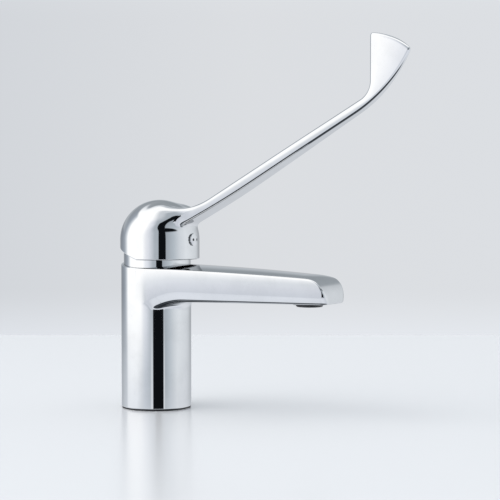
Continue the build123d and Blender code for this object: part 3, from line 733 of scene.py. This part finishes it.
@dataclass(frozen=True)
class Finish:
    """A surface finish with its marks sized in millimetres.

    Args:
        name: The material's name.
        making: How the surface was made.
        colour: Main colour as sRGB hex.
        worn: Colour of handled or duller patches.
        metallic: 1 for a bare metal, 0 otherwise.
        roughness: Roughness of the clean surface.
        roughness_worn: Roughness of the patches.
        patch_mm: Size of a patch.
        mark_mm: Spacing of the making's marks.
        mark_depth_mm: Depth of the marks.
        rim_tint: What a metal keeps of the light at a glancing angle.
    """

    name: str
    making: Making
    colour: str
    worn: str
    metallic: float
    roughness: float
    roughness_worn: float
    patch_mm: float
    mark_mm: float
    mark_depth_mm: float
    rim_tint: str = "#ffffff"

    def dress(self, obj: Object) -> None:
        """Gives a whole object this finish."""
        obj.data.materials.clear()
        obj.data.materials.append(self.build())

    @functools.cache
    def build(self) -> bpy.types.Material:
        """Makes the material once, on Object coordinates, one unit of which is a metre."""
        material = bpy.data.materials.new(self.name)
        material.use_nodes = True
        tree = material.node_tree
        tree.nodes.clear()
        add = functools.partial(add_node, tree)
        where = add("ShaderNodeTexCoord").outputs["Object"]
        grain = {"Vector": where, "Scale": PER_METRE / self.patch_mm, **PATCH_NOISE}
        patch = add("ShaderNodeTexNoise", grain).outputs["Fac"]
        limits = {"Value": patch, **PATCH_FADE}
        amount = add("ShaderNodeMapRange", limits, interpolation_type="SMOOTHSTEP").outputs["Result"]
        tint = add("ShaderNodeMixRGB", {0: amount, 1: srgb(self.colour), 2: srgb(self.worn)})
        limits = {"Value": patch, **WEAR_FADE, "To Min": self.roughness, "To Max": self.roughness_worn}
        rough = add("ShaderNodeMapRange", limits)
        marks = {"Height": self.marks(tree, where), "Distance": self.mark_depth_mm * MM}
        bump = add("ShaderNodeBump", marks)
        values = {
            "Base Color": tint.outputs[0],
            "Metallic": self.metallic,
            "Roughness": rough.outputs["Result"],
            "Specular Tint": srgb(self.rim_tint),
            "Normal": bump.outputs["Normal"],
        }
        surface = add("ShaderNodeBsdfPrincipled", values).outputs[0]
        add("ShaderNodeOutputMaterial", {"Surface": surface})
        return material

    def marks(self, tree: bpy.types.NodeTree, where: Socket) -> Socket:
        """Returns the height of the making's marks, from 0 to 1, at Object coordinates."""
        pitch = PER_METRE / self.mark_mm
        if self.making is Making.TURNED:
            values = {"Vector": where, "Scale": pitch / WAVE_PITCH, **WAVE_NOISE}
            rings = add_node(tree, "ShaderNodeTexWave", values, wave_type="BANDS", bands_direction="Z")
            return rings.outputs["Fac"]
        if self.making is Making.PRESSED:
            grit = add_node(tree, "ShaderNodeTexVoronoi", {"Vector": where, "Scale": pitch})
            return grit.outputs["Distance"]
        detail = 0.0
        if self.making is Making.ROLLED:
            drawn = add_node(tree, "ShaderNodeMapping", {"Vector": where, "Scale": DRAWN_SCALE})
            where, detail = drawn.outputs["Vector"], DRAWN_DETAIL
        grain = add_node(tree, "ShaderNodeTexNoise", {"Vector": where, "Scale": pitch, "Detail": detail})
        return grain.outputs["Fac"]


# Chrome over polished brass: a mirror with the buffing wheel's soft waviness.
CHROME = Finish(
    "chrome_plate_polished", Making.PLATED, "#d2d3d4", "#cdcecf", 1.0, 0.02, 0.05, 22.0, 12.0, 0.0012,
    rim_tint="#d5d6d7",
)
# Round the water outlet: chromed brass painted dark as painted shade, a dark, smoky mirror.
HOUSING_SHADE = Finish(
    "brass_painted_shade", Making.TURNED, "#3b3c40", "#2f3033", 1.0, 0.2, 0.3, 6.0, 0.6, 0.006
)
# Fine turning rings and a slightly tarnished yellow.
BRASS = Finish("brass_turned", Making.TURNED, "#c9a765", "#a98748", 1.0, 0.24, 0.38, 8.0, 0.6, 0.012)
# Bar and sheet: cool grey with drawn streaks.
STEEL = Finish("steel_zinc_plated", Making.ROLLED, "#b4b8bd", "#94989d", 1.0, 0.27, 0.42, 6.0, 0.7, 0.012)
# Soft black with a dusty grey bloom.
RUBBER = Finish(
    "epdm_rubber_moulded", Making.MOULDED, "#1d1e20", "#2b2c2e", 0.0, 0.55, 0.72, 5.0, 0.6, 0.02
)
# Pressed, fired and lapped: dense off-white with a satin sheen.
CERAMIC = Finish("alumina_fired", Making.PRESSED, "#ece9e1", "#dfdbd0", 0.0, 0.22, 0.34, 4.0, 0.5, 0.004)
# Cartridge parts: milky grey-white with an even satin skin.
ACETAL = Finish("acetal_moulded", Making.MOULDED, "#c9ccce", "#bcbfc2", 0.0, 0.36, 0.48, 7.0, 0.7, 0.008)
# Water outlet: dark, with lime-dulled patches.
OUTLET = Finish(
    "acetal_black_moulded", Making.MOULDED, "#26282b", "#3a3c3f", 0.0, 0.38, 0.55, 3.0, 0.5, 0.012
)
# Dots set in the plug: dark and slightly glossy.
DOT = Finish("enamel_dot", Making.PRESSED, "#2a2c33", "#34363e", 0.0, 0.28, 0.36, 1.0, 0.3, 0.004)

MADE_OF = (
    (CHROME, ("mixer_body", "neck_ring", "handle", "index_plug")),
    (BRASS, ("fixing_nut", "cartridge_nut")),
    # The aerator housing's dark colour is painted shade on chromed brass.
    (HOUSING_SHADE, ("aerator_housing",)),
    (STEEL, ("fixing_stud", "clamp_plate", "pivot_pin", "lever_stem", "handle_set_screw")),
    (RUBBER, ("base_gasket", "clamp_washer", "cartridge_seals")),
    (RUBBER, ("housing_seal", "neck_ring_seal", "aerator_seal")),
    (CERAMIC, ("fixed_ceramic_disc", "moving_ceramic_disc")),
    (ACETAL, ("cartridge_base", "disc_carrier", "cartridge_housing", "cartridge_rotor")),
    (OUTLET, ("aerator_insert",)),
    (DOT, ("hot_dot", "cold_dot")),
)


# The two castings


@dataclass
class MixerBody:
    """The mixer body: column, spout and nose as one skin, with the CAD piece's bores inside.

    Lengths are in mm. The elbow's rings turn about ``hub``, ``elbow_reach`` away at start and
    end. ``rings`` counts the rings in column, elbow, spout and nose.
    """

    node: Object
    shape: BodyField = field(default_factory=BodyField)
    foot_bore: float = 18.0
    foot_steps: tuple[float, ...] = (0.002, 0.25, 0.5, 0.75, 1.0, 1.19, 1.21, 1.5, 2.5, 5.0)
    column_start: float = 9.0
    hub: Pair = (27.0, 59.0)
    elbow_reach: Pair = (27.0, 23.9)
    spout_end: Pair = (112.0, 82.0)
    neck: Hole = Hole(0.9, 22.05, 85.0, 120.0)
    outlet: Hole = Hole(115.3, 10.7, 60.0, 76.0)
    rings: tuple[int, ...] = (22, 73, 61, 55)

    def half_rings(self) -> Array:
        """Runs half rings up the column, round the elbow, along the spout and over the nose."""
        skin = RingSkin(self.shape)
        column_rings, elbow_rings, spout_rings, nose_rings = self.rings
        low = self.shape.foot + np.array(self.foot_steps)
        z = np.concatenate([low, np.linspace(self.column_start, self.hub[1], column_rings)])
        column = skin.flat(in_profile(0.0, z), in_profile(1.0, 0.0))
        elbow = skin.bend(self.hub, self.elbow_reach, math.pi / 2, elbow_rings)

        down = in_profile(0.0, -1.0)
        x = np.linspace(self.hub[0], self.spout_end[0], spout_rings + 1)[1:]
        first = self.hub[1] + self.elbow_reach[1]
        level = first + (self.spout_end[1] - first) * np.linspace(0.0, 1.0, spout_rings)
        spout = skin.flat(in_profile(x, level), down)
        nose = skin.fan(in_profile(*self.spout_end), down, nose_rings)

        bore = level_ring(self.foot_bore, np.arctan2(-column[0, :, 1], column[0, :, 0]))
        bore[:, 2] = self.shape.foot
        return np.concatenate([bore[None], column, elbow, spout, nose])

    def build(self) -> Object:
        """Makes the piece, dresses it and lets it stand for the CAD piece."""
        points, quads = close_rings(self.half_rings())
        for hole in (self.neck, self.outlet):
            points, quads = hole.open(points, quads, self.shape)
        inner = inner_shell(self.node, self.shape)
        obj = join_skin("mixer_body_skin", self.shape, clean_faces(points, quads), inner)
        CHROME.dress(obj)
        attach(obj, "mixer")
        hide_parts("mixer_body")
        return obj


@dataclass
class Handle:
    """The handle: cap, lever and fin as one skin, with the CAD piece's room and sockets inside.

    Lengths are in mm. The elbow's rings turn about ``hub``, ``elbow_reach`` away at start and
    end. The lever's upper line is sought ``line_reach`` from the hub and its lower line within
    ``thickness`` below. ``rings`` counts the rings in skirt, elbow, root, arm, bend, fin and crown.
    """

    node: Object
    shape: HandleField = field(default_factory=HandleField)
    rim_radii: tuple[float, ...] = (24.1, 24.8, 25.4)
    rim_steps: tuple[float, ...] = (0.004, 0.06, 0.14, 0.24, 0.36, 0.5, 0.66, 0.9)
    skirt_start: float = 0.08
    hub: Pair = (35.0, 116.0)
    elbow_reach: Pair = (32.0, 13.0)
    line_reach: Pair = (5.0, 40.0)
    line_tries: int = 4001
    root_end: float = 56.0
    thickness: Pair = (1.0, 40.0)
    fan_height: float = 221.0
    rings: tuple[int, ...] = (24, 55, 40, 45, 33, 11, 63)

    def skirt(self, skin: RingSkin, count: int) -> Array:
        """Level half rings on the slanting rim's flat and up to the elbow's first ring."""
        shape = self.shape
        phi = skin.angles()
        rim = shape.rim_height(level_ring(shape.cap_radius, phi, shape.cap_x)[:, 0])
        share = np.linspace(self.skirt_start, 1.0, count)[:, None]
        low = rim + np.array(self.rim_steps)[:, None]
        heights = np.concatenate([low, rim + (self.hub[1] - rim) * share])
        origin = in_profile(shape.cap_x, heights)
        skirt = skin.grid(origin, np.broadcast_to(level_ring(1.0, phi), origin.shape))
        around = np.arctan2(-skirt[0, :, 1], skirt[0, :, 0] - shape.cap_x)
        rims = np.stack([level_ring(radius, around, shape.cap_x) for radius in self.rim_radii])
        rims[..., 2] = shape.rim_height(rims[..., 0])
        return np.concatenate([rims, skirt])

    def upper_line(self, root: int, arm: int, bend: int, fin: int) -> tuple[Array, Array]:
        """Walks the lever's upper line, round its bend and up the fin's face.

        Args:
            root: Number of points on the root; ``arm``, ``bend`` and ``fin`` give the others.

        Returns:
            Profile points in mm and the unit directions into the metal there.
        """
        shape = self.shape
        slope = math.radians(shape.upper.slope)
        into = np.array([math.sin(slope), -math.cos(slope)])
        way = np.array(self.hub) - np.linspace(*self.line_reach, self.line_tries)[:, None] * into
        first = way[np.argmax(shape.top(way[:, 0], way[:, 1]) > 0.0), 0]

        bend_x, bend_z = shape.bend_centre()
        last = bend_x + shape.bend * math.sin(slope)
        close = np.linspace(first, self.root_end, root)
        x = np.concatenate([close, np.linspace(self.root_end, last, arm + 1)[1:]])
        below = np.maximum(shape.hump.radius**2 - (x - shape.hump.x) ** 2, 0.0)
        line = shape.upper.z + (x - shape.upper.x) * math.tan(slope)
        z = np.where(x < shape.upper.x, shape.hump.z - np.sqrt(below), line)

        swing = np.linspace(slope, math.pi / 2, bend + 1)[1:]
        bend_into = np.stack([np.sin(swing), -np.cos(swing)], axis=1)
        face_z = np.linspace(bend_z, self.fan_height, fin + 1)[1:]
        face = np.stack([np.full(fin, shape.face_x), face_z], axis=1)
        top = [np.stack([x, z], axis=1), np.array([bend_x, bend_z]) + shape.bend * bend_into, face]
        ways = [np.tile(into, (len(x), 1)), bend_into, np.tile([1.0, 0.0], (fin, 1))]
        return np.concatenate(top), np.concatenate(ways)

    def half_rings(self) -> Array:
        """Runs half rings up the skirt, over into the lever, round its bend and over the fin."""
        skin = RingSkin(self.shape)
        skirt_rings, elbow_rings, *lever_rings, crown_rings = self.rings
        full = math.pi / 2 - math.radians(self.shape.upper.slope)
        elbow = skin.bend(self.hub, self.elbow_reach, full, elbow_rings)[:-1]
        top, into = self.upper_line(*lever_rings)
        low, high = (np.full(len(top), limit) for limit in self.thickness)
        below = self.shape.bottom
        across = halve(lambda mark: below(*(top + mark[:, None] * into).T) < 0.0, low, high)
        centres = in_profile(*(top + 0.5 * across[:, None] * into).T)
        lever = skin.flat(centres, in_profile(*into.T))
        crown = skin.fan(centres[-1], in_profile(1.0, 0.0), crown_rings)
        return np.concatenate([self.skirt(skin, skirt_rings), elbow, lever, crown])

    def build(self) -> Object:
        """Makes the piece, dresses it and lets it stand for the CAD piece."""
        skin = clean_faces(*close_rings(self.half_rings()))
        obj = join_skin("handle_skin", self.shape, skin, inner_shell(self.node, self.shape))
        CHROME.dress(obj)
        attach(obj, "lever")
        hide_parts("handle")
        return obj


# Studio


@dataclass(frozen=True)
class Patch:
    """A patch of the surround: two compass limits, two height limits and how wide each fades."""

    across: Triple
    up: Triple


class Surround:
    """The world's node tree, read by angles in degrees.

    The compass angle counts from the photographer to the right, the height angle upwards.
    """

    def __init__(self, view_azimuth: float) -> None:
        """Makes the world and its angles round the photographer's azimuth in degrees."""
        world = bpy.data.worlds.new("studio_surround")
        bpy.context.scene.world = world
        world.use_nodes = True
        self.tree = world.node_tree
        self.tree.nodes.clear()
        a = math.radians(view_azimuth)
        way = self.add("ShaderNodeTexCoord", output="Generated")
        right = self.along(way, (math.cos(a), math.sin(a), 0.0))
        self.near = self.along(way, (math.sin(a), -math.cos(a), 0.0))
        self.compass = self.combine("DEGREES", self.combine("ARCTAN2", right, self.near))
        rise = self.add("ShaderNodeSeparateXYZ", {"Vector": way}, output="Z")
        self.height = self.combine("DEGREES", self.combine("ARCSINE", rise))

    def add(self, kind: str, inputs: dict | None = None, output: int | str = 0, **settings) -> Socket:
        """Adds a node as ``add_node`` does and returns one of its outputs."""
        return add_node(self.tree, kind, inputs, **settings).outputs[output]

    def combine(self, operation: str, *values: Socket) -> Socket:
        """Works out one number from others."""
        return self.add("ShaderNodeMath", dict(enumerate(values)), operation=operation)

    def along(self, way: Socket, axis: tuple[float, ...]) -> Socket:
        """Says how far a direction points along an axis."""
        return self.add("ShaderNodeVectorMath", {0: way, 1: axis}, "Value", operation="DOT_PRODUCT")

    def step(self, value: Socket, low: float, high: float, kind: str = "SMOOTHSTEP") -> Socket:
        """Rises from 0 at ``low`` to 1 at ``high``, which may lie below ``low``."""
        limits = {"Value": value, "From Min": low, "From Max": high}
        return self.add("ShaderNodeMapRange", limits, interpolation_type=kind)

    def patch(self, patch: Patch) -> Socket:
        """Gives 1 in the patch and 0 outside."""
        inside = []
        for value, (low, high, fade) in ((self.compass, patch.across), (self.height, patch.up)):
            rising = self.step(value, low - fade / 2, low + fade / 2)
            falling = self.step(value, high + fade / 2, high - fade / 2)
            inside.append(self.combine("MULTIPLY", rising, falling))
        return self.combine("MULTIPLY", *inside)

    def ramp(self, value: Socket, stops: Stops) -> bpy.types.Node:
        """Adds a ramp of colours.

        Args:
            value: The angle to read it at.
            stops: Angle, sRGB hex and, where it isn't 1, alpha of each stop.

        Returns:
            The ramp.
        """
        low, high = stops[0][0], stops[-1][0]
        share = self.step(value, low, high, "LINEAR")
        node = add_node(self.tree, "ShaderNodeValToRGB", {"Fac": share})
        marks = node.color_ramp.elements
        while len(marks) < len(stops):
            marks.new(0.5)
        for mark, (angle, colour, *alpha) in zip(marks, stops):
            mark.position = (angle - low) / (high - low)
            mark.color = srgb(colour, *alpha)
        return node

    def over(self, factor: Socket, below: Socket | tuple, above: Socket | tuple) -> Socket:
        """Lays one colour over another."""
        return self.add("ShaderNodeMixRGB", {0: factor, 1: below, 2: above})


@dataclass
class Studio:
    """The pale floor, the light around the tap and the camera.

    ``walls``, ``skirting`` and ``eaves`` are greys by compass angle, ``depths`` and ``far_depths``
    greys by height angle for the near and the far half.
    """

    view_azimuth: float = 31.0
    camera_place: Triple = (0.5952, -0.8706, 0.1496)
    pitch: float = 2.505
    lens: float = 115.2
    sensor: float = 36.0
    clip_start: float = 0.05
    floor_half: float = 0.49
    floor_colour: str = "#dfe0e2"
    floor_roughness: float = 0.22
    lamp_place: Triple = (-0.75, -0.75, 1.3)
    lamp_target: Triple = (0.05, 0.0, 0.05)
    lamp_size: Pair = (0.9, 0.7)
    lamp_power: float = 5.0
    strength: float = 1.6
    shelf: str = "#bdc2c7"
    shelf_high: str = "#9ba1a6"
    white: str = "#ffffff"
    black: str = "#0d0f12"
    shelf_back: Pair = (-0.55, -0.9)
    shelf_low: Pair = (5.5, 10.0)
    shelf_fade: Pair = (13.0, 26.0)
    wall_low: Pair = (-8.0, -3.8)
    wall_high: Pair = (40.0, 47.0)
    far_back: Pair = (0.1, -0.3)
    side: Patch = Patch((104.0, 190.0, 8.0), (26.5, 100.0, 3.0))
    panel: Patch = Patch((-146.0, 132.0, 26.0), (62.0, 100.0, 8.0))
    mast: Patch = Patch((-1.0, 20.0, 2.0), (-7.0, 31.0, 5.0))
    arm: Patch = Patch((2.0, 92.0, 10.0), (22.5, 32.5, 4.0))
    foot: Patch = Patch((-7.5, 26.5, 2.0), (-13.0, -4.0, 1.0))
    walls: Stops = (
        (-180, "#b2b4b7"), (-140, "#8f959d"), (-122, "#9aa1aa"), (-112, "#c4c9cf"),
        (-103, "#ffffff"), (-49, "#ffffff"), (-38, "#e4e6eb"), (-29, "#d7dae1"),
        (-12, "#a8afb6"), (22, "#989fa6"), (44, "#afb7be"), (62, "#c8cdd2"),
        (84, "#d8dce0"), (116, "#d2d6da"), (134, "#cdd1d5"), (152, "#b3b6ba"),
        (180, "#b2b4b7"),
    )
    skirting: Stops = (
        (-180, "#b0b4ba"), (-140, "#aab0b7"), (-112, "#aeb4bc"), (-103, "#e8ebef"),
        (-64, "#e4e7eb"), (-48, "#cfd3d8"), (-33, "#bac0c8"), (-16, "#aab1b8"),
        (-10.5, "#dfe2e6"), (-8, "#aab0b7"), (26, "#9aa1a8"), (29, "#dfe2e5"),
        (32, "#9fa6ad"), (46, "#b2b9c0"), (76, "#d3d7db"), (116, "#c6cacf"),
        (150, "#b3b8bc"), (180, "#b0b4ba"),
    )
    eaves: Stops = (
        (-180, "#c2c6cb"), (-150, "#dfe2e6"), (-126, "#ffffff"), (-44, "#ffffff"),
        (-14, "#c9cdd2"), (20, "#b7bcc3"), (60, "#c0c5ca"), (96, "#b8bdc2"),
        (112, "#f2f4f6"), (128, "#b4b9be"), (180, "#b9bec4"),
    )
    depths: Stops = (
        (-90, "#3a3e43"), (-50, "#33373c"), (-42, "#41464c"), (-37, "#c4c8cf"),
        (-29, "#d8dce3"), (-19, "#c6cad2"), (-12, "#c9cdd5", 0.95), (-9.5, "#cfd2da", 0.7),
        (-7, "#d6d9e0", 0.0), (0, "#d6d9e0", 0.0),
    )
    far_depths: Stops = (
        (-90, "#3a3e43"), (-74, "#4a4f55"), (-60, "#a6abb1"), (-40, "#d6d9de"),
        (-12, "#d6d9de"), (-4, "#d6d9de", 0.0), (0, "#d6d9de", 0.0),
    )

    def surround(self) -> None:
        """Lights the tap from all round.

        The rule in words: wall greys by compass angle, others just under eye level and above 40
        degrees, a shelf behind, a bright ceiling panel, the deck's greys below and a black flag of
        mast, arm and foot are laid over each other in this order.
        """
        sky = Surround(self.view_azimuth)
        height = sky.height
        shelf = sky.over(sky.step(height, *self.shelf_fade), srgb(self.shelf), srgb(self.shelf_high))
        behind = sky.step(sky.near, *self.shelf_back, "LINEAR")
        behind = sky.combine("MULTIPLY", behind, sky.step(height, *self.shelf_low))
        wall = sky.over(behind, sky.ramp(sky.compass, self.walls).outputs["Color"], shelf)
        wall = sky.over(sky.patch(self.side), wall, srgb(self.shelf_high))
        low = sky.ramp(sky.compass, self.skirting).outputs["Color"]
        colour = sky.over(sky.step(height, *self.wall_low), low, wall)
        high = sky.ramp(sky.compass, self.eaves).outputs["Color"]
        colour = sky.over(sky.step(height, *self.wall_high), colour, high)
        colour = sky.over(sky.patch(self.panel), colour, srgb(self.white))
        near, far = (
            sky.over(deck.outputs["Alpha"], colour, deck.outputs["Color"])
            for deck in (sky.ramp(height, self.depths), sky.ramp(height, self.far_depths))
        )
        colour = sky.over(sky.step(sky.near, *self.far_back, "LINEAR"), near, far)
        flag = sky.combine("MAXIMUM", sky.patch(self.mast), sky.patch(self.arm))
        flag = sky.combine("MAXIMUM", flag, sky.patch(self.foot))
        colour = sky.over(flag, colour, srgb(self.black))
        bright = sky.add("ShaderNodeVectorMath", {0: colour, "Scale": self.strength}, operation="SCALE")
        light = sky.add("ShaderNodeBackground", {"Color": bright})
        add_node(sky.tree, "ShaderNodeOutputWorld", {"Surface": light})

    def floor(self) -> None:
        """Lays the pale glazed floor at the deck's plane."""
        a = math.radians(self.view_azimuth)
        right = np.array([math.cos(a), math.sin(a), 0.0])
        away = np.array([-math.sin(a), math.cos(a), 0.0])
        sides = np.array([[-1, -1], [1, -1], [1, 1], [-1, 1]]) * self.floor_half
        corners = sides[:, :1] * right + sides[:, 1:] * away
        floor = put_mesh("stage_floor", corners, np.arange(4)[None], np.empty((0, 3), dtype=int))
        material = bpy.data.materials.new("stage_glaze")
        material.use_nodes = True
        surface = material.node_tree.nodes["Principled BSDF"]
        surface.inputs["Base Color"].default_value = srgb(self.floor_colour)
        surface.inputs["Roughness"].default_value = self.floor_roughness
        floor.data.materials.append(material)
        floor.visible_glossy = False

    def lamp(self) -> None:
        """Hangs one soft lamp to the upper left for the contact shadow."""
        data = bpy.data.lights.new("soft_lamp", "AREA")
        data.shape = "RECTANGLE"
        data.size, data.size_y = self.lamp_size
        data.energy = self.lamp_power
        lamp = hang(data, self.lamp_place, Vector(self.lamp_target) - Vector(self.lamp_place))
        lamp.visible_glossy = False

    def camera(self) -> None:
        """Sets the camera where the photograph was taken."""
        data = bpy.data.cameras.new("camera")
        data.lens = self.lens
        data.sensor_width = self.sensor
        data.clip_start = self.clip_start
        a = math.radians(self.view_azimuth)
        way = Vector((-math.sin(a), math.cos(a), -math.tan(math.radians(self.pitch))))
        bpy.context.scene.camera = hang(data, self.camera_place, way)
        bpy.context.scene.view_settings.view_transform = "Standard"


def hang(data: bpy.types.ID, place: Triple, way: Vector) -> Object:
    """Puts a lamp or camera at a place, in metres, and makes it look along a direction."""
    obj = bpy.data.objects.new(data.name, data)
    bpy.context.scene.collection.objects.link(obj)
    obj.location = place
    obj.rotation_euler = way.to_track_quat("-Z", "Y").to_euler()
    return obj


def main() -> None:
    """Builds the tap and the studio, and logs each casting's face count."""
    logging.basicConfig(level=logging.INFO, format="%(name)s: %(message)s")
    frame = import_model()
    nodes = frame["nodes"]
    for finish, names in MADE_OF:
        for name in names:
            finish.dress(nodes[name])
    for casting in (MixerBody(nodes["mixer_body"]), Handle(nodes["handle"])):
        piece = casting.build()
        LOG.info("%s: %d faces", piece.name, len(piece.data.polygons))
    studio = Studio()
    studio.surround()
    studio.floor()
    studio.lamp()
    studio.camera()


if __name__ == "__main__":
    main()
